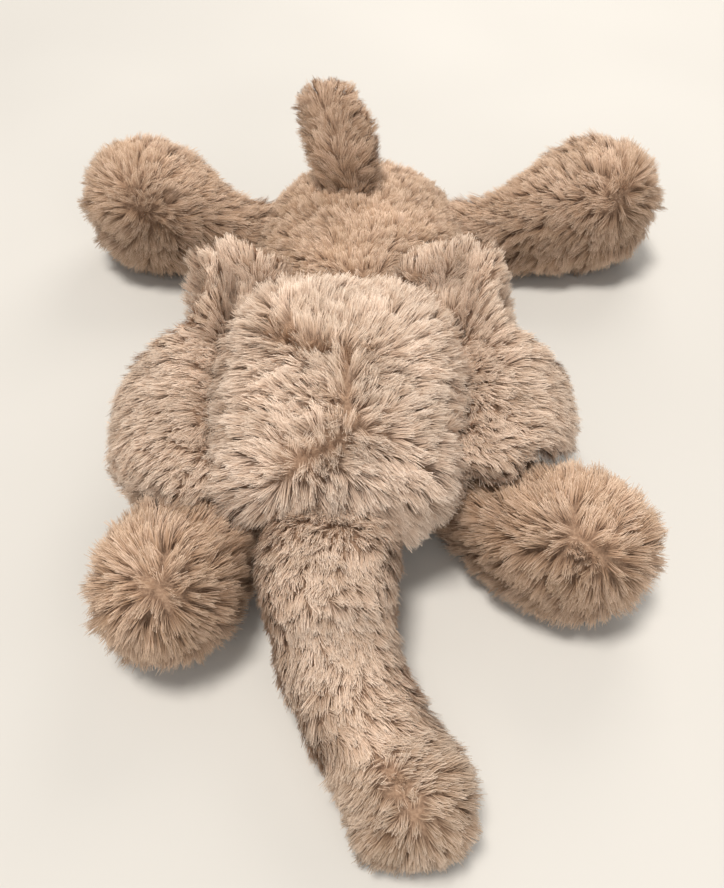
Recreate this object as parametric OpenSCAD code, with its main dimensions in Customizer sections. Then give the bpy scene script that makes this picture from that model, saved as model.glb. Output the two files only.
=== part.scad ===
// Floppy stuffed elephant lying on its belly: sewn long-pile skins over fibre filling and bean pouches.
// Millimetres. +Z up, the trunk points to -Y, the toy's own left side is +X.
// The origin is the middle of the footprint, on the surface that the toy lies on.

/* [Torso] */
// Widest width of the torso
torso_width = 124; // [112:1:132]
// Height of the back above the floor
torso_height = 69; // [62:1:74]

/* [Head] */
// Widest width of the head
head_width = 106; // [96:1:112]
// Thickness of the head from chin to crown
head_height = 60; // [52:1:64]
// Diameter of a safety eye
eye_diameter = 9; // [7:0.5:10]

/* [Trunk] */
// Width of the trunk where it leaves the head
trunk_width = 62; // [54:1:68]
// Thickness of the trunk where it leaves the head
trunk_thickness = 52; // [46:1:54]

/* [Ears] */
// Thickness of an ear with its wadding
ear_thickness = 9; // [7:0.5:10]

/* [Legs] */
// Width of a front foot
front_foot_width = 64; // [56:1:68]
// Width of a rear foot
rear_foot_width = 76; // [68:1:80]

/* [Tail] */
// Width of the tail
tail_width = 34; // [26:1:38]
// Thickness of the tail
tail_thickness = 13; // [10:1:14]

/* [Skin] */
// Thickness of the sewn skin with its dense under-pile
skin_thickness = 3; // [2:0.25:3.5]

/* [Hidden] */

// Room between a skin and what it holds
play = 0.4;
// Thickness of each skin of an ear
ear_skin = skin_thickness * 0.8;
// Steps of an ear's grid each way
ear_steps = 10;
// Seams of the panels around each tube: [first angle, last angle, columns]. Angle 0 is the toy's right side,
// 90 its top and 180 its left side
back_right_seams = [-10, 90, 8];
back_left_seams = [90, 190, 8];
belly_seams = [190, 350, 10];
face_right_seams = [-25, 40, 5];
crown_seams = [40, 140, 8];
face_left_seams = [140, 205, 5];
chin_seams = [205, 335, 8];
upper_seams = [0, 180, 8];
under_seams = [180, 360, 8];
torso_panels = [back_right_seams, back_left_seams, belly_seams];
head_panels = [face_right_seams, crown_seams, face_left_seams, chin_seams];
pair_panels = [upper_seams, under_seams];
// Rows of the panels along each tube
torso_rows = 16;
head_rows = 14;
leg_rows = 12;
trunk_rows = 8;
trunk_tip_rows = 12;
tail_rows = 8;
// Share of a loft's length left open at each closed end, where the panels are gathered
gather = 0.004;
// Squareness of the cross-sections: 1 is an ellipse, less is squarer
round_section = 0.9;
square_section = 0.76;
// Where the eyes sit: share of the head's length, and degrees below its widest line
eye_share = 0.84;
eye_angle = 14;
// Length of an eye's shank behind the skin
eye_shank = 7;
UP = [0, 0, 1];
FRONT = [0, -1, 0];

fur_cream = [0.76, 0.62, 0.51];
fur_taupe = [0.66, 0.52, 0.43];
fill_white = [0.93, 0.93, 0.9];
bean_grey = [0.7, 0.72, 0.75];
eye_black = [0.05, 0.05, 0.05];
washer_white = [0.9, 0.9, 0.88];

// Routes: each station is [x, y, z, half width, half height], from the body outwards.
torso_w = torso_width / 2;
torso_h = torso_height * 0.65;
torso_route = [
    [-7, 194, 22, torso_w * 0.74, torso_h * 0.84],
    [-6, 165, 24, torso_w * 0.92, torso_h * 0.98],
    [-6, 130, 24, torso_w, torso_h],
    [-6, 90, 22, torso_w * 0.97, torso_h * 0.93],
    [-7, 50, 20, torso_w * 0.82, torso_h * 0.72],
    [-9, 15, 17, torso_w * 0.58, torso_h * 0.42],
    [-10, -12, 17, torso_w * 0.48, torso_h * 0.38]
];
head_w = head_width / 2;
head_h = head_height / 2;
head_route = [
    [-14, 29, 69, head_w * 0.88, head_h * 0.9],
    [-15, 6, 69, head_w * 0.99, head_h],
    [-16, -22, 68, head_w, head_h],
    [-17, -50, 66, head_w * 0.97, head_h],
    [-17, -76, 61, head_w * 0.93, head_h * 0.86]
];
trunk_w = trunk_width / 2;
trunk_h = trunk_thickness / 2;
trunk_route = [
    [-19, -79, 46, trunk_w, trunk_h],
    [-20, -96, 44, trunk_w, trunk_h],
    [-20, -112, 41, trunk_w * 0.93, trunk_h * 0.96],
    [-18, -128, 37, trunk_w * 0.84, trunk_h * 0.92]
];
trunk_tip_route = [
    [-16, -130, 34, trunk_w * 0.8, trunk_h * 0.88],
    [-9, -152, 26, trunk_w * 0.77, trunk_h * 0.86],
    [5, -174, 22, trunk_w * 0.74, trunk_h * 0.84],
    [16, -189, 21, trunk_w * 0.72, trunk_h * 0.82],
    [25, -200, 20, trunk_w * 0.69, trunk_h * 0.78]
];
front_w = front_foot_width / 2;
front_leg_left_route = [
    [8, -26, 17, front_w * 0.48, front_w * 0.5],
    [28, -38, 19, front_w * 0.54, front_w * 0.54],
    [49, -56, 23, front_w * 0.7, front_w * 0.68],
    [70, -74, 29, front_w * 0.9, front_w * 0.88],
    [92, -85, 33, front_w, front_w * 1.03],
    [117, -92, 32, front_w * 0.97, front_w]
];
front_leg_right_route = [
    [-42, -20, 19, front_w * 0.56, front_w * 0.56],
    [-52, -40, 20, front_w * 0.6, front_w * 0.56],
    [-66, -64, 24, front_w * 0.74, front_w * 0.72],
    [-79, -88, 30, front_w * 0.9, front_w * 0.91],
    [-88, -110, 33, front_w * 0.97, front_w * 1.03],
    [-94, -135, 32, front_w * 0.94, front_w]
];
rear_w = rear_foot_width / 2;
rear_leg_left_route = [
    [58, 150, 27, rear_w * 0.52, rear_w * 0.52],
    [82, 153, 28, rear_w * 0.58, rear_w * 0.6],
    [108, 159, 33, rear_w * 0.8, rear_w * 0.84],
    [138, 170, 38, rear_w, rear_w],
    [171, 176, 38, rear_w * 0.95, rear_w * 0.97]
];
rear_leg_right_route = [
    [-71, 149, 27, rear_w * 0.52, rear_w * 0.52],
    [-91, 152, 28, rear_w * 0.6, rear_w * 0.62],
    [-113, 159, 33, rear_w * 0.82, rear_w * 0.86],
    [-139, 169, 38, rear_w, rear_w],
    [-171, 175, 38, rear_w * 0.95, rear_w * 0.97]
];
tail_w = tail_width / 2;
tail_h = tail_thickness / 2;
tail_route = [
    [-14, 143, 72, tail_w * 0.85, tail_h],
    [-18, 150, 88, tail_w, tail_h],
    [-24, 159, 101, tail_w, tail_h],
    [-29, 166, 113, tail_w * 0.85, tail_h]
];
// Ribs of the left ear, rear edge first: root at the head, crest, middle and outer edge
ear_ribs = [
    [[45, 33, 84], [52, 39, 98], [57, 42, 82], [59, 41, 60]],
    [[46, 21, 76], [56, 25, 90], [62, 22, 68], [75, 16, 44]],
    [[46, 2, 68], [58, 3, 78], [80, 2, 59], [92, 0, 33]],
    [[46, -14, 63], [58, -14, 70], [80, -16, 58], [92, -18, 31]],
    [[46, -30, 61], [57, -33, 65], [74, -37, 60], [86, -41, 42]],
    [[45, -45, 61], [53, -50, 64], [62, -54, 65], [71, -55, 61]]
];
// The right ear mirrors the left one about this plane, and its front reaches further forward
ear_mirror_x = -14;
ear_right_reach = 15;

function unit(v) = v / norm(v);
function clamp(v, low, high) = min(max(v, low), high);
function bend(v, e) = sign(v) * pow(abs(v), e);

// Smooth curve through four neighbours
function curve(p, q, r, s, t) =
    0.5 * (2 * q + (r - p) * t + (2 * p - 5 * q + 4 * r - s) * t * t + (3 * q - p - 3 * r + s) * t * t * t);

// Value a share s of the way along a list
function along(list, s) =
    let (last = len(list) - 1, i = clamp(floor(s * last), 0, last - 1))
    curve(list[max(i - 1, 0)], list[i], list[i + 1], list[min(i + 2, last)], s * last - i);

// Half-round ends: the share of the full section at s, with ends that take shares a and b of the length
function dome(s, a, b) =
    s < a ? sqrt(1 - pow(1 - s / a, 2)) :
    s > 1 - b ? sqrt(max(0, 1 - pow(1 - (1 - s) / b, 2))) : 1;

// Surface of a stuffed tube along a route, as a function of the share s of its length and the angle a
function tube(route, start, end, section, above) = function(s, a)
    let (
        here = along(route, s),
        ahead = along(route, min(s + 0.01, 1)),
        behind = along(route, max(s - 0.01, 0)),
        way = unit([for (k = [0:2]) ahead[k] - behind[k]]),
        side = unit(cross(way, above)),
        lift = cross(side, way),
        full = dome(s, start, end),
        centre = [for (k = [0:2]) here[k]],
        p = centre + side * here[3] * full * bend(cos(a), section) + lift * here[4] * full * bend(sin(a), section)
    )
    [p[0], p[1], max(p[2], 0)];

// Outward normal of a surface, from its neighbours
function outward(f, s, a) =
    let (
        ds = f(min(s + 0.004, 1 - gather), a) - f(max(s - 0.004, gather), a),
        da = f(s, a + 1.5) - f(s, a - 1.5)
    )
    unit(cross(ds, da));

// Surface moved inwards by depth, and never below depth above the floor
function inset(f, s, a, depth) =
    let (p = f(s, a) - outward(f, s, a) * depth)
    [p[0], p[1], max(p[2], depth)];

function middle(ring) = [for (p = ring) 1 / len(ring)] * ring;

// Closed solid between two grids of the same size, top and bottom
module slab(top, bottom) {
    rows = len(top);
    cols = len(top[0]);
    count = rows * cols;
    grid = [for (i = [0:rows - 2]) for (j = [0:cols - 2]) i * cols + j];
    edge_a = [for (i = [0:rows - 2]) [i * cols, (i + 1) * cols]];
    edge_b = [for (i = [0:rows - 2]) [(i + 2) * cols - 1, (i + 1) * cols - 1]];
    edge_c = [for (j = [0:cols - 2]) [j + 1, j]];
    edge_d = [for (j = [0:cols - 2]) [count - cols + j, count - cols + j + 1]];
    polyhedron(
        points = concat([for (row = top) each row], [for (row = bottom) each row]),
        faces = concat(
            [for (k = grid) each [[k, k + 1, k + cols], [k + 1, k + cols + 1, k + cols]]],
            [for (k = grid) each [[k + count, k + cols + count, k + 1 + count],
                                  [k + 1 + count, k + cols + count, k + cols + 1 + count]]],
            [for (e = concat(edge_a, edge_b, edge_c, edge_d))
                each [[e[0], e[1], e[0] + count], [e[1], e[1] + count, e[0] + count]]]
        )
    );
}

// Angles of a panel's columns, from its seams [first angle, last angle, columns]
function columns(seams, last) = [for (j = [0:last]) seams[0] + (seams[1] - seams[0]) * j / seams[2]];
function row_share(i, rows) = gather + (1 - 2 * gather) * (0.5 - 0.5 * cos(180 * i / rows));

// A sewn panel of a tube between its two seams
module panel(f, seams, rows) {
    angles = columns(seams, seams[2]);
    shares = [for (i = [0:rows]) row_share(i, rows)];
    slab(
        [for (s = shares) [for (a = angles) f(s, a)]],
        [for (s = shares) [for (a = angles) inset(f, s, a, skin_thickness)]]
    );
}

// What a tube holds between two of its panels' rows
module core(f, panels, rows, first, last) {
    depth = skin_thickness + play;
    angles = [for (seams = panels) each columns(seams, seams[2] - 1)];
    cols = len(angles);
    rings = [for (i = [first:last]) [for (a = angles) inset(f, row_share(i, rows), a, depth)]];
    count = len(rings) * cols;
    polyhedron(
        points = concat([for (ring = rings) each ring], [middle(rings[0]), middle(rings[len(rings) - 1])]),
        faces = concat(
            [for (i = [0:len(rings) - 2]) for (j = [0:cols - 1])
                let (k = i * cols + j, n = i * cols + (j + 1) % cols)
                each [[k, n, k + cols], [n, n + cols, k + cols]]],
            [for (j = [0:cols - 1]) [count, (j + 1) % cols, j]],
            [for (j = [0:cols - 1]) [count + 1, count - cols + j, count - cols + (j + 1) % cols]]
        )
    );
}

torso_shape = tube(torso_route, 0.2, 0.09, round_section, UP);
head_shape = tube(head_route, 0.22, 0.22, square_section, UP);
trunk_shape = tube(trunk_route, 0.42, 0.02, round_section, UP);
trunk_tip_shape = tube(trunk_tip_route, 0.26, 0.22, round_section, UP);
front_leg_left_shape = tube(front_leg_left_route, 0.16, 0.3, round_section, UP);
front_leg_right_shape = tube(front_leg_right_route, 0.16, 0.3, round_section, UP);
rear_leg_left_shape = tube(rear_leg_left_route, 0.17, 0.3, round_section, UP);
rear_leg_right_shape = tube(rear_leg_right_route, 0.17, 0.3, round_section, UP);
tail_shape = tube(tail_route, 0.13, 0.3, round_section, FRONT);

// Middle surface of an ear: u runs from the root to the outer edge, v from the rear edge to the front,
// and reach draws the front edge forward
function ear_middle(u, v, reach) = along([for (rib = ear_ribs) along(rib, u)], v) + FRONT * reach * v;
function ear_point(u, v, reach, height) =
    let (
        du = ear_middle(min(u + 0.02, 1), v, reach) - ear_middle(max(u - 0.02, 0), v, reach),
        dv = ear_middle(u, min(v + 0.02, 1), reach) - ear_middle(u, max(v - 0.02, 0), reach)
    )
    ear_middle(u, v, reach) + unit(cross(dv, du)) * height;

// The ear thins towards its sewn edges: the share of its full thickness that is left
function ear_share(u, v) = 0.5 + 0.5 * sin(90 * min(1 - u, v, 1 - v, 0.25) / 0.25);

// One layer of the left ear between two heights, on the grid's steps from first to last
module ear_layer(low, high, reach, first, last) {
    steps = [for (i = [first:last]) i / ear_steps];
    slab(
        [for (u = steps) [for (v = steps) ear_point(u, v, reach, low * ear_share(u, v))]],
        [for (u = steps) [for (v = steps) ear_point(u, v, reach, high * ear_share(u, v))]]
    );
}

module ear_outer_panel(reach) {
    ear_layer(ear_thickness / 2 - ear_skin, ear_thickness / 2, reach, 0, ear_steps);
}

module ear_inner_panel(reach) {
    ear_layer(-ear_thickness / 2, ear_skin - ear_thickness / 2, reach, 0, ear_steps);
}

module ear_wadding(reach) {
    half = ear_thickness / 2 - ear_skin - play;
    ear_layer(-half, half, reach, 1, ear_steps - 1);
}

module mirrored_ear() {
    translate([2 * ear_mirror_x, 0, 0]) mirror([1, 0, 0]) children();
}

// Puts a part that stands along +Z on a surface, pointing outwards
module stand_on(f, s, a) {
    n = outward(f, s, a);
    translate(f(s, a)) rotate([0, acos(n[2]), atan2(n[1], n[0])]) children();
}

module eye(a) {
    color(eye_black) stand_on(head_shape, eye_share, a) {
        sphere(d = eye_diameter, $fn = 48);
        translate([0, 0, -eye_shank]) cylinder(d = eye_diameter / 3, h = eye_shank, $fn = 32);
    }
}

module eye_washer(a) {
    color(washer_white) stand_on(head_shape, eye_share, a)
        translate([0, 0, -eye_shank + 0.5]) difference() {
            cylinder(d = eye_diameter * 1.4, h = 1.2, $fn = 48);
            translate([0, 0, -1]) cylinder(d = eye_diameter / 3 + 0.1, h = 4, $fn = 32);
        }
}

module leg_upper_panel(f) {
    color(fur_taupe) panel(f, upper_seams, leg_rows);
}

module leg_under_panel(f) {
    color(fur_taupe) panel(f, under_seams, leg_rows);
}

module leg_filling(f) {
    color(fill_white) core(f, pair_panels, leg_rows, 1, 6);
}

module leg_bean_pouch(f) {
    color(bean_grey) core(f, pair_panels, leg_rows, 7, 11);
}

module back_panel_left() { color(fur_taupe) panel(torso_shape, back_left_seams, torso_rows); }
module back_panel_right() { color(fur_taupe) panel(torso_shape, back_right_seams, torso_rows); }
module belly_panel() { color(fur_taupe) panel(torso_shape, belly_seams, torso_rows); }
module body_filling() { color(fill_white) core(torso_shape, torso_panels, torso_rows, 8, 15); }
module body_bean_pouch() { color(bean_grey) core(torso_shape, torso_panels, torso_rows, 1, 7); }

module crown_panel() { color(fur_cream) panel(head_shape, crown_seams, head_rows); }
module face_panel_left() { color(fur_cream) panel(head_shape, face_left_seams, head_rows); }
module face_panel_right() { color(fur_cream) panel(head_shape, face_right_seams, head_rows); }
module chin_panel() { color(fur_cream) panel(head_shape, chin_seams, head_rows); }
module head_filling() { color(fill_white) core(head_shape, head_panels, head_rows, 1, 13); }
module eye_left() { eye(180 + eye_angle); }
module eye_right() { eye(-eye_angle); }
module eye_washer_left() { eye_washer(180 + eye_angle); }
module eye_washer_right() { eye_washer(-eye_angle); }

module trunk_top_panel() { color(fur_cream) panel(trunk_shape, upper_seams, trunk_rows); }
module trunk_under_panel() { color(fur_cream) panel(trunk_shape, under_seams, trunk_rows); }
module trunk_filling() { color(fill_white) core(trunk_shape, pair_panels, trunk_rows, 1, 6); }
module trunk_tip_top_panel() { color(fur_cream) panel(trunk_tip_shape, upper_seams, trunk_tip_rows); }
module trunk_tip_under_panel() { color(fur_cream) panel(trunk_tip_shape, under_seams, trunk_tip_rows); }
module trunk_tip_filling() { color(fill_white) core(trunk_tip_shape, pair_panels, trunk_tip_rows, 1, 11); }

module ear_left_outer_panel() { color(fur_cream) ear_outer_panel(0); }
module ear_left_inner_panel() { color(fur_cream) ear_inner_panel(0); }
module ear_left_wadding() { color(fill_white) ear_wadding(0); }
module ear_right_outer_panel() { color(fur_cream) mirrored_ear() ear_outer_panel(ear_right_reach); }
module ear_right_inner_panel() { color(fur_cream) mirrored_ear() ear_inner_panel(ear_right_reach); }
module ear_right_wadding() { color(fill_white) mirrored_ear() ear_wadding(ear_right_reach); }

module front_leg_left_upper_panel() { leg_upper_panel(front_leg_left_shape); }
module front_leg_left_under_panel() { leg_under_panel(front_leg_left_shape); }
module front_leg_left_filling() { leg_filling(front_leg_left_shape); }
module front_leg_left_bean_pouch() { leg_bean_pouch(front_leg_left_shape); }
module front_leg_right_upper_panel() { leg_upper_panel(front_leg_right_shape); }
module front_leg_right_under_panel() { leg_under_panel(front_leg_right_shape); }
module front_leg_right_filling() { leg_filling(front_leg_right_shape); }
module front_leg_right_bean_pouch() { leg_bean_pouch(front_leg_right_shape); }
module rear_leg_left_upper_panel() { leg_upper_panel(rear_leg_left_shape); }
module rear_leg_left_under_panel() { leg_under_panel(rear_leg_left_shape); }
module rear_leg_left_filling() { leg_filling(rear_leg_left_shape); }
module rear_leg_left_bean_pouch() { leg_bean_pouch(rear_leg_left_shape); }
module rear_leg_right_upper_panel() { leg_upper_panel(rear_leg_right_shape); }
module rear_leg_right_under_panel() { leg_under_panel(rear_leg_right_shape); }
module rear_leg_right_filling() { leg_filling(rear_leg_right_shape); }
module rear_leg_right_bean_pouch() { leg_bean_pouch(rear_leg_right_shape); }

module tail_front_panel() { color(fur_taupe) panel(tail_shape, upper_seams, tail_rows); }
module tail_back_panel() { color(fur_taupe) panel(tail_shape, under_seams, tail_rows); }

back_panel_left();
back_panel_right();
belly_panel();
body_filling();
body_bean_pouch();
crown_panel();
face_panel_left();
face_panel_right();
chin_panel();
head_filling();
eye_left();
eye_right();
eye_washer_left();
eye_washer_right();
trunk_top_panel();
trunk_under_panel();
trunk_filling();
trunk_tip_top_panel();
trunk_tip_under_panel();
trunk_tip_filling();
ear_left_outer_panel();
ear_left_inner_panel();
ear_left_wadding();
ear_right_outer_panel();
ear_right_inner_panel();
ear_right_wadding();
front_leg_left_upper_panel();
front_leg_left_under_panel();
front_leg_left_filling();
front_leg_left_bean_pouch();
front_leg_right_upper_panel();
front_leg_right_under_panel();
front_leg_right_filling();
front_leg_right_bean_pouch();
rear_leg_left_upper_panel();
rear_leg_left_under_panel();
rear_leg_left_filling();
rear_leg_left_bean_pouch();
rear_leg_right_upper_panel();
rear_leg_right_under_panel();
rear_leg_right_filling();
rear_leg_right_bean_pouch();
tail_front_panel();
tail_back_panel();
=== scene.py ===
"""Long-pile plush elephant lying on its belly: padded skins under combed, clumped pile."""

import math

import bmesh
import bpy
import numpy as np
from mathutils import Matrix, Vector
from mathutils.bvhtree import BVHTree
from mathutils.kdtree import KDTree


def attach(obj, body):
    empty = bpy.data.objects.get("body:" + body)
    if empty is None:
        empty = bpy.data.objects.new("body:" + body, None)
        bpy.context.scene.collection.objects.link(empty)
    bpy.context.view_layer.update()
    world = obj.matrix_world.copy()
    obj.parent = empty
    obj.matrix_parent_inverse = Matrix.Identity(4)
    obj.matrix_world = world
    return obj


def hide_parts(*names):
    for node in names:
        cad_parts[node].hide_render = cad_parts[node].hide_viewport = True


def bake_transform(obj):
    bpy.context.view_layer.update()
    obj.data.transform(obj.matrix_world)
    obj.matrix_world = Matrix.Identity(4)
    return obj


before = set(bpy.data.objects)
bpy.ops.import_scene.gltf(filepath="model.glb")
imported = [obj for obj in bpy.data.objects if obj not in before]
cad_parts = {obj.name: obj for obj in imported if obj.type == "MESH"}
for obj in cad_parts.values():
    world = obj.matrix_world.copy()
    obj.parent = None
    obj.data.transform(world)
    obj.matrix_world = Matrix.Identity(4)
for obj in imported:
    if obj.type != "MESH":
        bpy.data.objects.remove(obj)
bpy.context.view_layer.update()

MM = 0.001
MIDDLE = -14  # x of the toy's middle plane, in mm
FLOOR_GAP = 0.0004  # the lowest any pile hangs above the floor
FLOOR_SPREAD = 0.0012  # how much higher than that some of the pile pressed on the floor lies
PRESSED = 0.003  # height of a padded form above the floor, over its flattened pile
STRANDS = 22  # strands in a clump
STRAND_WIDTH = 0.00023
ROOT_DEPTH = 0.0006  # how far the strands' roots are sunk in the form
CLUMP_GAP = 0.0020  # least distance between clumps
TUFT_GAP = 0.0050  # least distance between the middles of tufts, which are groups of clumps
SEAM_REACH = 0.005  # how far from a seam its stitching shortens the pile
SEAM_LENGTH = 0.72  # the share of its length that the pile keeps at a seam


# ---------------------------------------------------------------- meshes and forms


def link(name, mesh):
    obj = bpy.data.objects.new(name, mesh)
    bpy.context.scene.collection.objects.link(obj)
    return obj


def node_points(*nodes):
    return np.concatenate([[v.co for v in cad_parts[n].data.vertices] for n in nodes])


def add_mesh(bm, part):
    """Adds a bmesh's geometry to bm and frees it."""
    mesh = bpy.data.meshes.new("part")
    part.to_mesh(mesh)
    part.free()
    bm.from_mesh(mesh)
    bpy.data.meshes.remove(mesh)


def add_inflated(bm, node, distance):
    part = bmesh.new()
    part.from_mesh(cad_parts[node].data)
    bmesh.ops.remove_doubles(part, verts=part.verts, dist=1e-6)
    bmesh.ops.recalc_face_normals(part, faces=part.faces)
    part.normal_update()
    moved = [v.co + v.normal * distance for v in part.verts]
    for v, co in zip(part.verts, moved):
        v.co = co
    add_mesh(bm, part)


def add_hull(bm, points, distance):
    part = bmesh.new()
    for p in points:
        part.verts.new(p)
    hull = bmesh.ops.convex_hull(part, input=part.verts)
    loose = {v for v in hull["geom_interior"] + hull["geom_unused"] if isinstance(v, bmesh.types.BMVert)}
    bmesh.ops.delete(part, geom=list(loose), context="VERTS")
    bmesh.ops.recalc_face_normals(part, faces=part.faces)
    part.normal_update()
    moved = [v.co + v.normal * distance for v in part.verts]
    for v, co in zip(part.verts, moved):
        v.co = co
    add_mesh(bm, part)


def add_capsule(bm, start, end, radius):
    """Balls of that radius along a line, close enough together to make one rounded bar."""
    start, end = Vector(start) * MM, Vector(end) * MM
    steps = max(1, math.ceil((end - start).length / (radius * MM * 0.5)))
    for k in range(steps + 1):
        part = bmesh.new()
        bmesh.ops.create_icosphere(
            part, subdivisions=2, radius=radius * MM, matrix=Matrix.Translation(start.lerp(end, k / steps))
        )
        add_mesh(bm, part)


def largest_piece(mesh):
    """Removes every loose part but the one with the most vertices, such as the walls of inner cavities."""
    count = len(mesh.vertices)
    edges = np.empty(len(mesh.edges) * 2, np.int32)
    mesh.edges.foreach_get("vertices", edges)
    edges = edges.reshape(-1, 2)
    label = np.arange(count)
    while True:
        before = label.copy()
        low = label[edges].min(1)
        np.minimum.at(label, edges[:, 0], low)
        np.minimum.at(label, edges[:, 1], low)
        label = label[label]
        if (label == before).all():
            break
    keep = np.bincount(label).argmax()
    bm = bmesh.new()
    bm.from_mesh(mesh)
    bmesh.ops.delete(bm, geom=[v for v, k in zip(bm.verts, label) if k != keep], context="VERTS")
    bm.to_mesh(mesh)
    bm.free()


def make_form(name, skins, held, ends=(), bars=(), voxel=3.0, inflate=2.6, inset=5.0, smooth=12):
    """A closed padded skin just inside the CAD solids of its nodes. ends are (direction, depth, nodes), each a
    gathered end that is closed. bars are (start, end, radius), which carry the skin into its neighbour or fill it
    out. Sizes are in mm."""
    bm = bmesh.new()
    for node in [*skins, *held]:
        add_inflated(bm, node, inflate * MM)
    for direction, depth, group in ends:
        points = node_points(*group)
        reach = points @ np.array(direction, float)
        add_hull(bm, points[reach > reach.max() - depth * MM], inflate * MM)
    for start, end, radius in bars:
        add_capsule(bm, start, end, radius + inflate + inset)
    mesh = bpy.data.meshes.new(name)
    bm.to_mesh(mesh)
    bm.free()
    obj = link(name, mesh)
    remesh = obj.modifiers.new("remesh", "REMESH")
    remesh.mode = "VOXEL"
    remesh.voxel_size = voxel * MM
    soften = obj.modifiers.new("soften", "SMOOTH")
    soften.factor = 0.5
    soften.iterations = smooth
    shrink = obj.modifiers.new("shrink", "DISPLACE")
    shrink.strength = -(inflate + inset) * MM
    shrink.mid_level = 0
    even = obj.modifiers.new("even", "SMOOTH")
    even.factor = 0.5
    even.iterations = 4
    done = bpy.data.meshes.new_from_object(obj.evaluated_get(bpy.context.evaluated_depsgraph_get()))
    obj.modifiers.clear()
    obj.data = done
    done.name = name
    bpy.data.meshes.remove(mesh)
    largest_piece(done)
    co = np.array([v.co for v in done.vertices], float)
    co[:, 2] = np.maximum(co[:, 2], PRESSED)
    done.vertices.foreach_set("co", co.ravel())
    done.update()
    done.polygons.foreach_set("use_smooth", [True] * len(done.polygons))
    return obj


# ---------------------------------------------------------------- pile


def unit(v):
    return v / np.maximum(np.linalg.norm(v, axis=-1, keepdims=True), 1e-9)


def flat(v, n):
    """v without its part along n."""
    return v - n * (v * n).sum(-1, keepdims=True)


def ripple(p, scale, seed):
    """Smooth noise from -1 to 1 over points, with features of about scale metres."""
    rng = np.random.default_rng(seed)
    total = np.zeros(len(p))
    for _ in range(5):
        k = unit(rng.normal(size=3)) * rng.uniform(0.6, 1.5) * 2 * math.pi / scale
        total += np.sin(p @ k + rng.uniform(0, 6.3))
    return total / 2.6


def scatter(mesh, gap, rng):
    """Points and normals spread evenly over a mesh, at least gap apart."""
    mesh.calc_loop_triangles()
    co = np.empty(len(mesh.vertices) * 3)
    mesh.vertices.foreach_get("co", co)
    co = co.reshape(-1, 3)
    normal = np.empty(len(mesh.vertices) * 3)
    mesh.vertices.foreach_get("normal", normal)
    normal = normal.reshape(-1, 3)
    tri = np.empty(len(mesh.loop_triangles) * 3, np.int32)
    mesh.loop_triangles.foreach_get("vertices", tri)
    tri = tri.reshape(-1, 3)
    a, b, c = (co[tri[:, k]] for k in range(3))
    area = np.linalg.norm(np.cross(b - a, c - a), axis=1) / 2
    total = int(area.sum() / gap**2 * 5)
    pick = rng.choice(len(tri), total, p=area / area.sum())
    u, v = rng.random(total), rng.random(total)
    over = u + v > 1
    u[over], v[over] = 1 - u[over], 1 - v[over]
    w = np.stack([1 - u - v, u, v], 1)[:, :, None]
    points = (co[tri[pick]] * w).sum(1)
    normals = unit((normal[tri[pick]] * w).sum(1))
    tree = KDTree(total)
    for i, p in enumerate(points):
        tree.insert(p, i)
    tree.balance()
    free = np.ones(total, bool)
    kept = []
    for i in range(total):
        if free[i]:
            kept.append(i)
            for _, j, _ in tree.find_range(points[i], gap):
                free[j] = False
    return points[kept], normals[kept]


def nearest_panels(points, panels):
    """For each point, the index of its nearest panel, and how far it is from the next panel's seam."""
    distance = []
    for node in panels:
        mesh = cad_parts[node].data
        tree = BVHTree.FromPolygons([v.co for v in mesh.vertices], [tuple(p.vertices) for p in mesh.polygons])
        distance.append([tree.find_nearest(p)[3] for p in points])
    distance = np.array(distance)
    order = np.argsort(distance, axis=0)
    if len(panels) == 1:
        return order[0], np.full(len(points), 1.0)
    near = np.take_along_axis(distance, order, 0)
    return order[0], near[1] - near[0]


def tufts(p, gap, rng):
    """Groups points into tufts. Gives each point's tuft and its offset from the tuft's middle."""
    tree = KDTree(len(p))
    for i, point in enumerate(p):
        tree.insert(point, i)
    tree.balance()
    free = np.ones(len(p), bool)
    middles = []
    for i in rng.permutation(len(p)):
        if free[i]:
            middles.append(i)
            for _, j, _ in tree.find_range(p[i], gap):
                free[j] = False
    near = KDTree(len(middles))
    for k, i in enumerate(middles):
        near.insert(p[i], k)
    near.balance()
    tuft = np.array([near.find(point)[1] for point in p])
    return tuft, p - p[np.array(middles)[tuft]]


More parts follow.
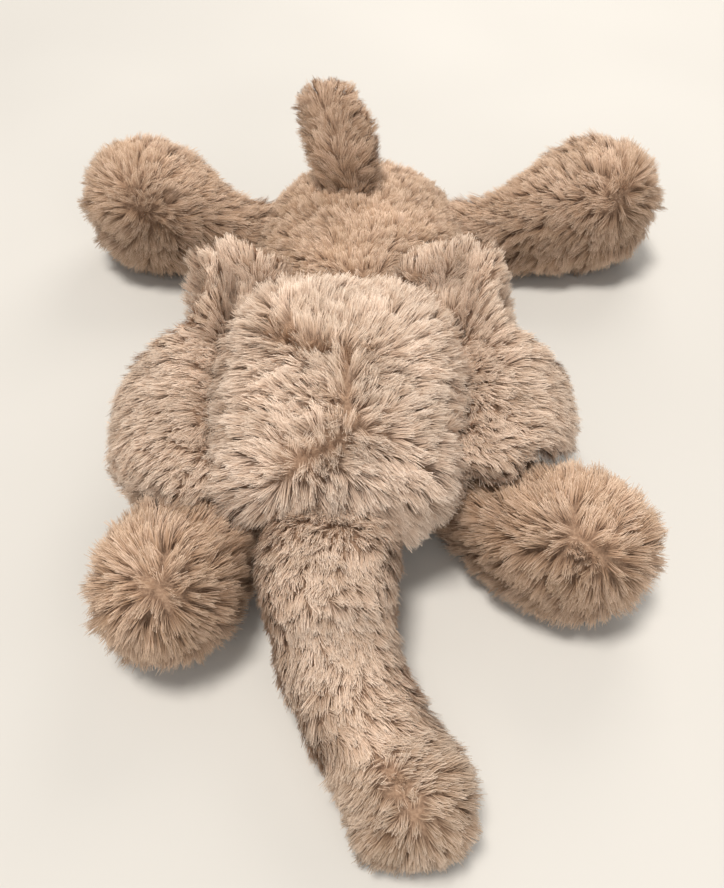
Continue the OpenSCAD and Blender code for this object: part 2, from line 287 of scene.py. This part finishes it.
def pile_mesh(name, p, n, d, length, lean, tone_and_painted_light, gather, rng):
    """Clumps of strands rooted at p, each a blunt bowed ribbon of three triangles. d is the way the pile is combed,
    lean its angle from upright, and gather moves a clump's tips towards the middle of its tuft."""
    spread = CLUMP_GAP * 0.85
    rep = lambda v: np.repeat(v, STRANDS, axis=0)
    count = len(p) * STRANDS
    side = unit(np.cross(n, d))
    turn, far = rng.uniform(0, 2 * math.pi, count), spread * np.sqrt(rng.random(count))
    off = rep(d) * (np.cos(turn) * far)[:, None] + rep(side) * (np.sin(turn) * far)[:, None]
    clump_length = length * rng.normal(1, 0.05, len(p)).clip(0.85, 1.15)
    long = rep(clump_length) * rng.normal(1, 0.08, count).clip(0.7, 1.2)
    tilt = rep(lean + rng.normal(0, 0.07, len(p))) + rng.normal(0, 0.09, count)
    swing = rep(rng.normal(0, 0.12, len(p))) + rng.normal(0, 0.12, count)
    comb = rep(d) * np.cos(swing)[:, None] + rep(side) * np.sin(swing)[:, None]
    up = rep(n)
    root = rep(p) + off - up * ROOT_DEPTH
    own = root + (up * np.cos(tilt)[:, None] + comb * np.sin(tilt)[:, None]) * long[:, None]
    together = rep(rng.uniform(0.0, 0.4, len(p)))[:, None]
    tip = own - off * together + rep(gather)
    bow = root + (up * 0.5 + comb * 0.16) * long[:, None]
    middle = root * 0.25 + bow * 0.5 + tip * 0.25
    way = unit(tip - root)
    roll = rng.normal(0, 0.5, count).clip(-1.3, 1.3)[:, None]
    across = unit(np.cross(way, up))
    lift = np.cross(across, way)
    half_width = STRAND_WIDTH / 2 * rng.uniform(0.75, 1.3, count)[:, None]
    edge = (across * np.cos(roll) + lift * np.sin(roll)) * half_width
    blunt = edge * rng.uniform(0.3, 0.7, count)[:, None]
    verts = np.stack([root, middle - edge, middle + edge, tip - blunt, tip + blunt], 1)
    verts = verts.reshape(-1, 3)
    low = FLOOR_GAP + np.repeat(rng.random(count), 5) * FLOOR_SPREAD
    verts[:, 2] = np.maximum(verts[:, 2], low)
    base = (np.arange(count) * 5)[:, None]
    faces = (base + np.array([0, 2, 1, 1, 2, 4, 1, 4, 3])).reshape(-1)
    mesh = bpy.data.meshes.new(name)
    mesh.vertices.add(len(verts))
    mesh.vertices.foreach_set("co", verts.astype(np.float32).ravel())
    mesh.loops.add(len(faces))
    mesh.loops.foreach_set("vertex_index", faces.astype(np.int32))
    mesh.polygons.add(len(faces) // 3)
    mesh.polygons.foreach_set("loop_start", np.arange(0, len(faces), 3, dtype=np.int32))
    mesh.update(calc_edges=True)
    facing = unit(np.repeat(up * 0.75 + comb * 0.25 + lift * 0.35, 5, axis=0))
    mesh.normals_split_custom_set_from_vertices(facing)
    # The per-strand shading attribute carries random variation plus the painted light and shade laid on by place.
    for key, value in (
        ("along", np.tile(np.array([0, 0.5, 0.5, 1.0, 1.0]), count)),
        ("tone_and_painted_light", np.repeat(rep(tone_and_painted_light) + rng.normal(0, 0.16, count), 5)),
    ):
        attribute = mesh.attributes.new(key, "FLOAT", "POINT")
        attribute.data.foreach_set("value", value.astype(np.float32))
    return mesh


# ---------------------------------------------------------------- materials


def ramp(tree, stops, mode="EASE"):
    node = tree.nodes.new("ShaderNodeValToRGB")
    node.color_ramp.interpolation = mode
    for k, (at, colour) in enumerate(stops):
        element = node.color_ramp.elements[k] if k < 2 else node.color_ramp.elements.new(at)
        element.position = at
        element.color = (*colour, 1)
    return node


def srgb(*c):
    """A linear colour from 8-bit sRGB values."""
    return tuple(((x / 255 + 0.055) / 1.055) ** 2.4 for x in c)


def pile_material(name, stops):
    """Plush pile: stops are its colours from root to tip, darker at the root as painted shade deep in the pile,
    varied from strand to strand and in soft patches, and by the painted light and shade laid on by place.
    """
    material = bpy.data.materials.new(name)
    material.use_nodes = True
    tree = material.node_tree
    shader = tree.nodes["Principled BSDF"]
    shader.inputs["Roughness"].default_value = 0.62
    shader.inputs["Specular IOR Level"].default_value = 0.35
    shader.inputs["Sheen Weight"].default_value = 0.08
    shader.inputs["Sheen Roughness"].default_value = 0.45
    shader.inputs["Sheen Tint"].default_value = (1, 0.93, 0.86, 1)
    along = tree.nodes.new("ShaderNodeAttribute")
    along.attribute_name = "along"
    # Each strand's random variation, with the painted light and shade laid on by place, sets its value and
    # saturation.
    tone_and_painted_light = tree.nodes.new("ShaderNodeAttribute")
    tone_and_painted_light.attribute_name = "tone_and_painted_light"
    colours = ramp(tree, stops, "LINEAR")
    tree.links.new(along.outputs["Fac"], colours.inputs["Fac"])
    where = tree.nodes.new("ShaderNodeTexCoord")
    noise = tree.nodes.new("ShaderNodeTexNoise")
    noise.inputs["Scale"].default_value = 38
    noise.inputs["Detail"].default_value = 3
    tree.links.new(where.outputs["Object"], noise.inputs["Vector"])
    patch = tree.nodes.new("ShaderNodeMapRange")
    patch.inputs["From Min"].default_value = 0.3
    patch.inputs["From Max"].default_value = 0.7
    patch.inputs["To Min"].default_value = 0.9
    patch.inputs["To Max"].default_value = 1.08
    tree.links.new(noise.outputs["Fac"], patch.inputs["Value"])
    strand = tree.nodes.new("ShaderNodeMath")
    strand.operation = "MULTIPLY_ADD"
    strand.inputs[1].default_value = 0.5
    tree.links.new(tone_and_painted_light.outputs["Fac"], strand.inputs[0])
    tree.links.new(patch.outputs["Result"], strand.inputs[2])
    value = tree.nodes.new("ShaderNodeHueSaturation")
    tree.links.new(colours.outputs["Color"], value.inputs["Color"])
    tree.links.new(strand.outputs[0], value.inputs["Value"])
    richer = tree.nodes.new("ShaderNodeMath")
    richer.operation = "MULTIPLY_ADD"
    richer.inputs[1].default_value = -0.35
    richer.inputs[2].default_value = 1.0
    tree.links.new(tone_and_painted_light.outputs["Fac"], richer.inputs[0])
    tree.links.new(richer.outputs[0], value.inputs["Saturation"])
    tree.links.new(value.outputs["Color"], shader.inputs["Base Color"])
    return material


def skin_material():
    """Knitted backing cloth, seen only between the clumps."""
    material = bpy.data.materials.new("pile_backing")
    material.use_nodes = True
    tree = material.node_tree
    shader = tree.nodes["Principled BSDF"]
    shader.inputs["Roughness"].default_value = 0.95
    shader.inputs["Specular IOR Level"].default_value = 0.1
    where = tree.nodes.new("ShaderNodeTexCoord")
    noise = tree.nodes.new("ShaderNodeTexNoise")
    noise.inputs["Scale"].default_value = 900
    tree.links.new(where.outputs["Object"], noise.inputs["Vector"])
    colours = ramp(tree, [(0.3, srgb(150, 124, 104)), (0.7, srgb(178, 150, 128))])
    tree.links.new(noise.outputs["Fac"], colours.inputs["Fac"])
    tree.links.new(colours.outputs["Color"], shader.inputs["Base Color"])
    bump = tree.nodes.new("ShaderNodeBump")
    bump.inputs["Strength"].default_value = 0.5
    bump.inputs["Distance"].default_value = 0.0005
    tree.links.new(noise.outputs["Fac"], bump.inputs["Height"])
    tree.links.new(bump.outputs["Normal"], shader.inputs["Normal"])
    return material


def moulded_material(name, dark, light, roughness, coat):
    """Moulded plastic with faint moulding marks."""
    material = bpy.data.materials.new(name)
    material.use_nodes = True
    tree = material.node_tree
    shader = tree.nodes["Principled BSDF"]
    shader.inputs["Coat Weight"].default_value = coat
    shader.inputs["Coat Roughness"].default_value = 0.03
    where = tree.nodes.new("ShaderNodeTexCoord")
    noise = tree.nodes.new("ShaderNodeTexNoise")
    noise.inputs["Scale"].default_value = 260
    tree.links.new(where.outputs["Object"], noise.inputs["Vector"])
    colours = ramp(tree, [(0.3, dark), (0.7, light)])
    tree.links.new(noise.outputs["Fac"], colours.inputs["Fac"])
    tree.links.new(colours.outputs["Color"], shader.inputs["Base Color"])
    gloss = tree.nodes.new("ShaderNodeMapRange")
    gloss.inputs["To Min"].default_value = roughness * 0.8
    gloss.inputs["To Max"].default_value = roughness * 1.2
    tree.links.new(noise.outputs["Fac"], gloss.inputs["Value"])
    tree.links.new(gloss.outputs["Result"], shader.inputs["Roughness"])
    return material


# The stops lighten from root to tip; the darker roots are painted shade, standing in for the shade deep in the pile.
CREAM = pile_material(
    "cream_pile",
    [
        (0.0, srgb(170, 142, 122)),
        (0.28, srgb(188, 158, 136)),
        (0.75, srgb(222, 196, 174)),
        (1.0, srgb(241, 221, 203)),
    ],
)
# Darker towards the root, as painted shade deep in the pile.
TAUPE = pile_material(
    "taupe_pile",
    [
        (0.0, srgb(148, 116, 94)),
        (0.28, srgb(170, 136, 110)),
        (0.75, srgb(202, 170, 144)),
        (1.0, srgb(225, 198, 174)),
    ],
)
BACKING = skin_material()

# ---------------------------------------------------------------- combing
# A comb takes points and their normals, and gives the way the pile lies and how far it is laid down, from 0 to 1.


def from_parting(*points, reach=0.022):
    """The pile is combed outwards from a parting through points in mm, and stands up along it."""
    knots = np.array(points, float) * MM

    def comb(p, n):
        nearest = np.full(len(p), 9.0)
        away = np.zeros_like(p)
        pull = np.zeros_like(p)
        for a, b in zip(knots, knots[1:]):
            line = b - a
            t = (((p - a) @ line) / (line @ line)).clip(0, 1)[:, None]
            out = p - (a + line * t)
            gap = np.linalg.norm(out, axis=1)
            closer = gap < nearest
            away[closer] = out[closer]
            nearest = np.minimum(nearest, gap)
            pull += out / (gap**3 + 1e-8)[:, None]
        way = unit(unit(away) + unit(pull))
        return unit(flat(way, n)), (nearest / reach).clip(0, 1)

    return comb


# x and y of the trunk's middle line, in mm from root to tip, and the whorl on its end
TRUNK_LINE = [(-19, -78), (-20, -112), (-16, -132), (-9, -152), (5, -174), (16, -189), (28, -205)]
TRUNK_END = from_parting((0, -179, 40), (6, -189, 38), (13, -199, 34), reach=0.01)


def trunk_comb(p, n):
    """Down the trunk and out to its sides, and out from a whorl at its end."""
    knots = np.array(TRUNK_LINE, float) * MM
    seg_a, line = knots[:-1], knots[1:] - knots[:-1]
    t = (((p[:, None, :2] - seg_a) * line).sum(-1) / (line * line).sum(-1)).clip(0, 1)
    foot = seg_a + line * t[..., None]
    away = p[:, None, :2] - foot
    which = np.linalg.norm(away, axis=-1).argmin(1)
    row = np.arange(len(p))
    out = np.zeros_like(p)
    out[:, :2] = away[row, which] / 0.028 * np.where(away[row, which, :1] > 0, 0.85, 0.35)
    down = np.zeros_like(p)
    down[:, :2] = unit(line)[which]
    way, stood = TRUNK_END(p, n)
    end = ((-0.168 - p[:, 1]) / 0.014).clip(0, 1)
    way = down * (1 - 0.6 * end)[:, None] + out * (1 - end)[:, None] + way * end[:, None]
    return unit(flat(way, n)), 1 - end * (1 - stood)


def tail_comb(p, n):
    """Up the tail and out from its middle line, which leans back and to the toy's right."""
    foot, rise = np.array([MIDDLE, 143, 72]) * MM, np.array([-15, 25, 46]) * MM
    centre = foot + (p[:, 2:3] - foot[2]) / rise[2] * rise
    out = flat(p - centre, n)
    out[:, 2] = 0
    return unit(flat(out / 0.009 + np.array([-0.2, 0.3, 0.75]), n)), np.ones(len(p))


def ear_comb(side):
    """Out from the line where the ear is sewn to the head."""

    def comb(p, n):
        root = np.stack([np.full(len(p), (side * 44 + MIDDLE) * MM), p[:, 1] * 0.55, np.full(len(p), 0.062)], 1)
        return unit(flat(p - root, n)), np.ones(len(p))

    return comb


# ---------------------------------------------------------------- the toy

rng = np.random.default_rng(7)


def furnish(
    form, panels, held, comb, length, lean, material, follow, shade=None, ruffled=1.0, extra=None
):
    """Gives a padded form its backing and its pile, and hands the form and each piece of pile to follow. The pile is
    one piece for each panel, or one piece named extra on a form whose panels are only its neighbours'. length is in
    mm and lean in degrees from upright, and ruffled is how far the tufts part from each other."""
    form.data.materials.clear()
    form.data.materials.append(BACKING)
    if held:
        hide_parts(*held)
    follow(form)
    p, n = scatter(form.data, CLUMP_GAP, rng)
    d, stood = comb(p, n)
    angle = ripple(p, 0.05, 3) * 0.3 + ripple(p, 0.010, 4) * 0.28
    side = np.cross(n, d)
    d = d * np.cos(angle)[:, None] + side * np.sin(angle)[:, None]
    which, seam = nearest_panels(p, panels)
    near = (seam / SEAM_REACH).clip(0, 1)
    long = length(p) if callable(length) else np.full(len(p), length)
    tuft, away = tufts(p, TUFT_GAP, rng)
    own = lambda spread: rng.normal(0, spread, tuft.max() + 1)[tuft]
    turn = own(0.16 * ruffled)[:, None] + rng.normal(0, 0.9, (len(p), 1)) * (1 - stood[:, None]) ** 2
    d = d * np.cos(turn) + np.cross(n, d) * np.sin(turn)
    long = long * MM * (SEAM_LENGTH + (1 - SEAM_LENGTH) * near) * (1 + 0.08 * ripple(p, 0.012, 5)) * (1 + own(0.05))
    tilt = np.radians(lean) * (0.3 + 0.7 * stood) + (0.14 * ripple(p, 0.012, 6) + own(0.09)) * ruffled
    # Random from clump to clump and tuft to tuft, plus what shade adds by place: painted shade and painted light on
    # the head, and a darker trunk tip.
    tone_and_painted_light = rng.normal(0, 0.06, len(p)) + own(0.07) + (shade(p) if shade else 0)
    gather = -flat(away, n) * (0.42 * ruffled + own(0.12))[:, None].clip(0.1, 0.75)
    for k, panel in enumerate(panels[:1] if extra else panels):
        mine = np.ones(len(p), bool) if extra else which == k  # an extra piece has all the clumps
        name = extra or panel.replace("_panel", "_pile")
        strands = [value[mine] for value in (p, n, d, long, tilt, tone_and_painted_light, gather)]
        mesh = pile_mesh(name, *strands, rng)
        mesh.materials.append(material)
        obj = link(name, mesh)
        if not extra:
            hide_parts(panel)
        follow(obj)


def rides(body):
    return lambda obj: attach(obj, body)


def blends(a, b, start, end):
    return lambda obj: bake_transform(obj)


# Torso
torso_skins = ["back_panel_left", "back_panel_right", "belly_panel"]
torso_held = ["body_filling", "body_bean_pouch"]
torso_form = make_form(
    "body_form", torso_skins, torso_held, ends=[((0, 1, 0), 16, torso_skins), ((0, -1, 0), 16, torso_skins)]
)
furnish(
    torso_form, torso_skins, torso_held,
    from_parting((-6, 40, 60), (-6, 70, 60)),
    8, 52, TAUPE, rides("torso"),
)

# Head
head_skins = ["crown_panel", "face_panel_left", "face_panel_right", "chin_panel"]
head_form = make_form(
    "head_form", head_skins, ["head_filling"],
    ends=[((0, 1, 0), 14, head_skins), ((0, -1, 0), 16, head_skins)],
    bars=[((-46, -69, 64), (12, -67, 64), 15), ((2, -72, 46), (20, -60, 46), 15)],
)
head_comb = from_parting(
    (-37, -14, 97), (-25, -24, 98), (-10, -31, 98), (-12, -55, 95), (-10, -66, 91), (-19, -73, 84),
    (-31, -75, 79),
)


def head_length(p):
    """The pile is longest where the brow overhangs the trunk."""
    return 11.5 + 3.5 * ((-0.068 - p[:, 1]) / 0.012).clip(0, 1)


def head_painted_shade_and_light(p):
    """Painted shade and light: darker where the pile stands open along the parting, brighter on the brow, and a
    little brighter all over.
    """
    parted = head_comb(p, np.tile((0.0, 0.0, 1.0), (len(p), 1)))[1]
    return 0.08 - 0.35 * (1 - parted) ** 2 + 0.22 * ((-0.058 - p[:, 1]) / 0.02).clip(0, 1)


# The head's pile carries painted shade along its parting and painted light on its brow.
furnish(
    head_form, head_skins, ["head_filling"], head_comb, head_length, 54, CREAM, rides("head"),
    shade=head_painted_shade_and_light, ruffled=1.15,
)

# Trunk: one skin, cut across into its base and its tip
trunk_skins = ["trunk_top_panel", "trunk_under_panel"]
tip_skins = ["trunk_tip_top_panel", "trunk_tip_under_panel"]
TRUNK_CUT = -117 * MM
trunk_whole = make_form(
    "trunk_form", trunk_skins + tip_skins, ["trunk_filling", "trunk_tip_filling"],
    ends=[((0.45, -0.9, 0), 14, tip_skins)],
    bars=[
        *(((x, -92, 42), (x + 1, -62, 48), 18) for x in (-28, -19, -10)),
        ((-24, -112, 37), (-20, -136, 31), 18), ((-20, -136, 31), (-10, -158, 28), 16),
        ((-13, -116, 37), (-8, -140, 31), 16),
        ((-4, -172, 24), (4, -193, 18), 13), ((4, -194, 17), (19, -194, 19), 13),
    ],
    inset=3.8,
)


def trunk_shade(p):
    """Darker and browner towards the trunk's tip."""
    return -0.45 * ((-0.15 - p[:, 1]) / 0.05).clip(0, 1)


def cut(obj, keep_tip):
    """Cuts the trunk's skin at TRUNK_CUT and keeps its tip or its base."""
    bm = bmesh.new()
    bm.from_mesh(obj.data)
    bmesh.ops.bisect_plane(
        bm, geom=bm.verts[:] + bm.edges[:] + bm.faces[:], plane_co=(0, TRUNK_CUT, 0), plane_no=(0, 1, 0),
        clear_outer=keep_tip, clear_inner=not keep_tip,
    )
    bm.to_mesh(obj.data)
    bm.free()


tip_form = link("trunk_tip_form", trunk_whole.data.copy())
cut(trunk_whole, False)
cut(tip_form, True)
furnish(
    trunk_whole, trunk_skins, ["trunk_filling"], trunk_comb, 8, 50, CREAM,
    blends("head", "trunk_base", (-19, -84, 50), (-20, -112, 42)), ruffled=0.7,
)
furnish(
    tip_form, tip_skins, ["trunk_tip_filling"], trunk_comb, 8, 50, CREAM,
    blends("trunk_base", "trunk_tip", (-19, -120, 38), (-14, -146, 28)), ruffled=0.7, shade=trunk_shade,
)


# Ears
def nip(form, side, low, high, depth):
    """Draws an ear's outer edge in towards the head by depth, from y low to y high in mm, where its top folds over
    its lobe."""
    co = np.array([v.co for v in form.data.vertices], float)
    out = side * (co[:, 0] - MIDDLE * MM)
    y = co[:, 1] / MM
    near = ((y - low) / 7).clip(0, 1) * ((high - y) / 14).clip(0, 1)
    near = near * near * (3 - 2 * near)
    co[:, 0] -= side * depth * MM * near * ((out - 0.052) / 0.02).clip(0, 1)
    form.data.vertices.foreach_set("co", co.ravel())
    form.data.update()


ear_roots = [(33, 84), (21, 76), (2, 68), (-14, 63), (-30, 61), (-45, 61)]
for side, word, reach in ((1, "left", 0), (-1, "right", 15)):
    skins = [f"ear_{word}_outer_panel", f"ear_{word}_inner_panel"]
    held = [f"ear_{word}_wadding"]
    across = lambda x: side * x + MIDDLE
    bars = []
    for k, (y, z) in enumerate(ear_roots):
        y -= reach * k / 5
        bars.append(((across(60), y, z), (across(38), y * 0.95, z - (6 if k < 2 else 12)), 4))
        if k < 2:
            bars.append(((across(57), y, z - 9), (across(36), y * 0.95, z - 16), 4))
    ridge = 6 if side > 0 else 5
    bars.append(((across(54), 38, 88 + ridge), (across(32), 33, 80 + ridge), ridge))
    bars.append(((across(44), -46 - reach, 59), (across(69), -53 - reach, 61), 4))
    bars.append(((across(44), -52 - reach, 57), (across(66), -62 - reach, 60), 4))
    if side < 0:
        bars.append(((-84, -68, 60), (-97, -67, 50), 4))
        bars.append(((-97, -67, 50), (-107, -50, 43), 4))
    form = make_form(f"ear_{word}_form", skins, held, bars=bars, voxel=2.2, inflate=1.6, inset=2.4, smooth=20)
    nip(form, side, *((0, 30, 8) if side > 0 else (-3, 39, 12)))
    furnish(
        form, skins, held, ear_comb(side), 9.5, 56, CREAM,
        blends("head", f"ear_{word}", (across(50), 0, 66), (across(68), 0, 66)), ruffled=0.7,
    )

# Legs: each with the bar that roots it in the torso, its foot's whorl, where it bends, and which way the foot points
legs = {
    "front_leg_left": {
        "root": ((-4, -12, 17), (20, -33, 18), 12),
        "whorl": ((80, -98, 60), (92, -106, 52)),
        "bend": ((9, -22, 17), (36, -44, 20)),
        "foot": (0.7, -0.5, 0),
    },
    "front_leg_right": {
        "root": ((-26, -8, 18), (-46, -26, 19), 13),
        "whorl": ((-74, -129, 57), (-84, -120, 58)),
        "bend": ((-34, -14, 19), (-55, -44, 20)),
        "foot": (-0.4, -0.9, 0),
    },
    "rear_leg_left": {
        "root": ((44, 149, 26), (72, 152, 27), 16),
        "whorl": ((144, 138, 59), (150, 146, 64)),
        "bend": ((54, 150, 27), (84, 153, 28)),
        "foot": (1, 0.2, 0),
    },
    "rear_leg_right": {
        "root": ((-56, 148, 26), (-84, 151, 27), 16),
        "whorl": ((-132, 136, 49), (-138, 146, 58)),
        "bend": ((-66, 149, 27), (-95, 152, 28)),
        "foot": (-1, 0.2, 0),
    },
}
for leg, at in legs.items():
    skins = [f"{leg}_upper_panel", f"{leg}_under_panel"]
    held = [f"{leg}_filling", f"{leg}_bean_pouch"]
    form = make_form(f"{leg}_form", skins, held, ends=[(at["foot"], 14, skins)], bars=[at["root"]])
    furnish(
        form, skins, held, from_parting(*at["whorl"]), 11.5, 52, TAUPE,
        blends("torso", leg, *at["bend"]),
    )

# Tail
tail_skins = ["tail_front_panel", "tail_back_panel"]
tail_form = make_form(
    "tail_form", tail_skins, [], ends=[((0, 0, 1), 10, tail_skins)],
    bars=[
        ((-22, 144, 62), (-23, 148, 82), 6),
        ((-6, 142, 62), (-8, 146, 82), 6),
        ((-14, 143, 62), (-15, 147, 82), 7),
    ],
    voxel=2.2, inflate=1.6, inset=2.0, smooth=5,
)


def tail_length(p):
    """The pile is shorter at the tail's tip."""
    return 12 - 3 * ((p[:, 2] - 0.08) / 0.03).clip(0, 1)


furnish(
    tail_form, tail_skins, [], tail_comb, tail_length, 54, TAUPE,
    blends("torso", "tail", (-14, 143, 68), (-16, 147, 84)),
)

# Neck: the plush that shows between the torso and the chin when the head lifts
neck_form = make_form("neck_form", [], [], bars=[((x, 23, 29), (x, 13, 50), 11) for x in (-34, -14, 6)])
furnish(
    neck_form, ["chin_panel", "crown_panel"], [], from_parting((-44, 20, 45), (16, 20, 45)), 7, 45, CREAM,
    blends("torso", "head", (-14, 22, 32), (-14, 16, 48)), extra="neck_pile",
)


# Eyes
def repaint(node, material):
    """Gives a CAD node its material."""
    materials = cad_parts[node].data.materials
    materials.clear()
    materials.append(material)


for side in ("left", "right"):
    gloss = moulded_material(f"eye_{side}_gloss", (0.004, 0.003, 0.003), (0.012, 0.009, 0.008), 0.12, 0.8)
    repaint(f"eye_{side}", gloss)
    repaint(f"eye_washer_{side}", moulded_material(f"washer_{side}", (0.72, 0.72, 0.7), (0.8, 0.8, 0.78), 0.45, 0))

# ---------------------------------------------------------------- stage, light and camera


def floor_material():
    material = bpy.data.materials.new("floor")
    material.use_nodes = True
    tree = material.node_tree
    shader = tree.nodes["Principled BSDF"]
    shader.inputs["Roughness"].default_value = 0.8
    where = tree.nodes.new("ShaderNodeTexCoord")
    noise = tree.nodes.new("ShaderNodeTexNoise")
    noise.inputs["Scale"].default_value = 3
    tree.links.new(where.outputs["Object"], noise.inputs["Vector"])
    colours = ramp(tree, [(0.3, (0.62, 0.61, 0.59)), (0.7, (0.66, 0.65, 0.63))])
    tree.links.new(noise.outputs["Fac"], colours.inputs["Fac"])
    tree.links.new(colours.outputs["Color"], shader.inputs["Base Color"])
    return material


bpy.ops.mesh.primitive_plane_add(size=12)
floor = bpy.context.object
floor.name = "floor"
floor.data.materials.append(floor_material())


def area_light(name, place, target, size, power, colour):
    data = bpy.data.lights.new(name, "AREA")
    data.size = size
    data.energy = power
    data.color = colour
    obj = bpy.data.objects.new(name, data)
    obj.location = place
    obj.rotation_euler = (Vector(target) - Vector(place)).to_track_quat("-Z", "Y").to_euler()
    bpy.context.scene.collection.objects.link(obj)


sun = bpy.data.lights.new("key", "SUN")
sun.angle = math.radians(15)
sun.energy = 2.7
sun.color = (1, 0.94, 0.86)
key = bpy.data.objects.new("key", sun)
key.rotation_euler = Vector((-0.2, -0.15, 1.3)).to_track_quat("Z", "Y").to_euler()
bpy.context.scene.collection.objects.link(key)
area_light("back", (0.4, 1.0, 0.9), (0, 0.05, 0.05), 0.8, 6, (1, 0.95, 0.88))
area_light("fill", (0.2, -1.1, 0.9), (0, 0, 0), 1.2, 5, (1, 0.96, 0.9))
world = bpy.data.worlds.new("studio")
world.use_nodes = True
world.node_tree.nodes["Background"].inputs["Color"].default_value = (0.95, 0.92, 0.88, 1)
world.node_tree.nodes["Background"].inputs["Strength"].default_value = 0.27
bpy.context.scene.world = world
bpy.context.scene.view_settings.view_transform = "Standard"

camera = bpy.data.objects.new("camera", bpy.data.cameras.new("camera"))
bpy.context.scene.collection.objects.link(camera)
camera.location = (-0.006, -0.309, 0.348)
camera.rotation_euler = (math.radians(42), 0, 0)
camera.data.sensor_width = 36
camera.data.lens = 36.49
bpy.context.scene.camera = camera
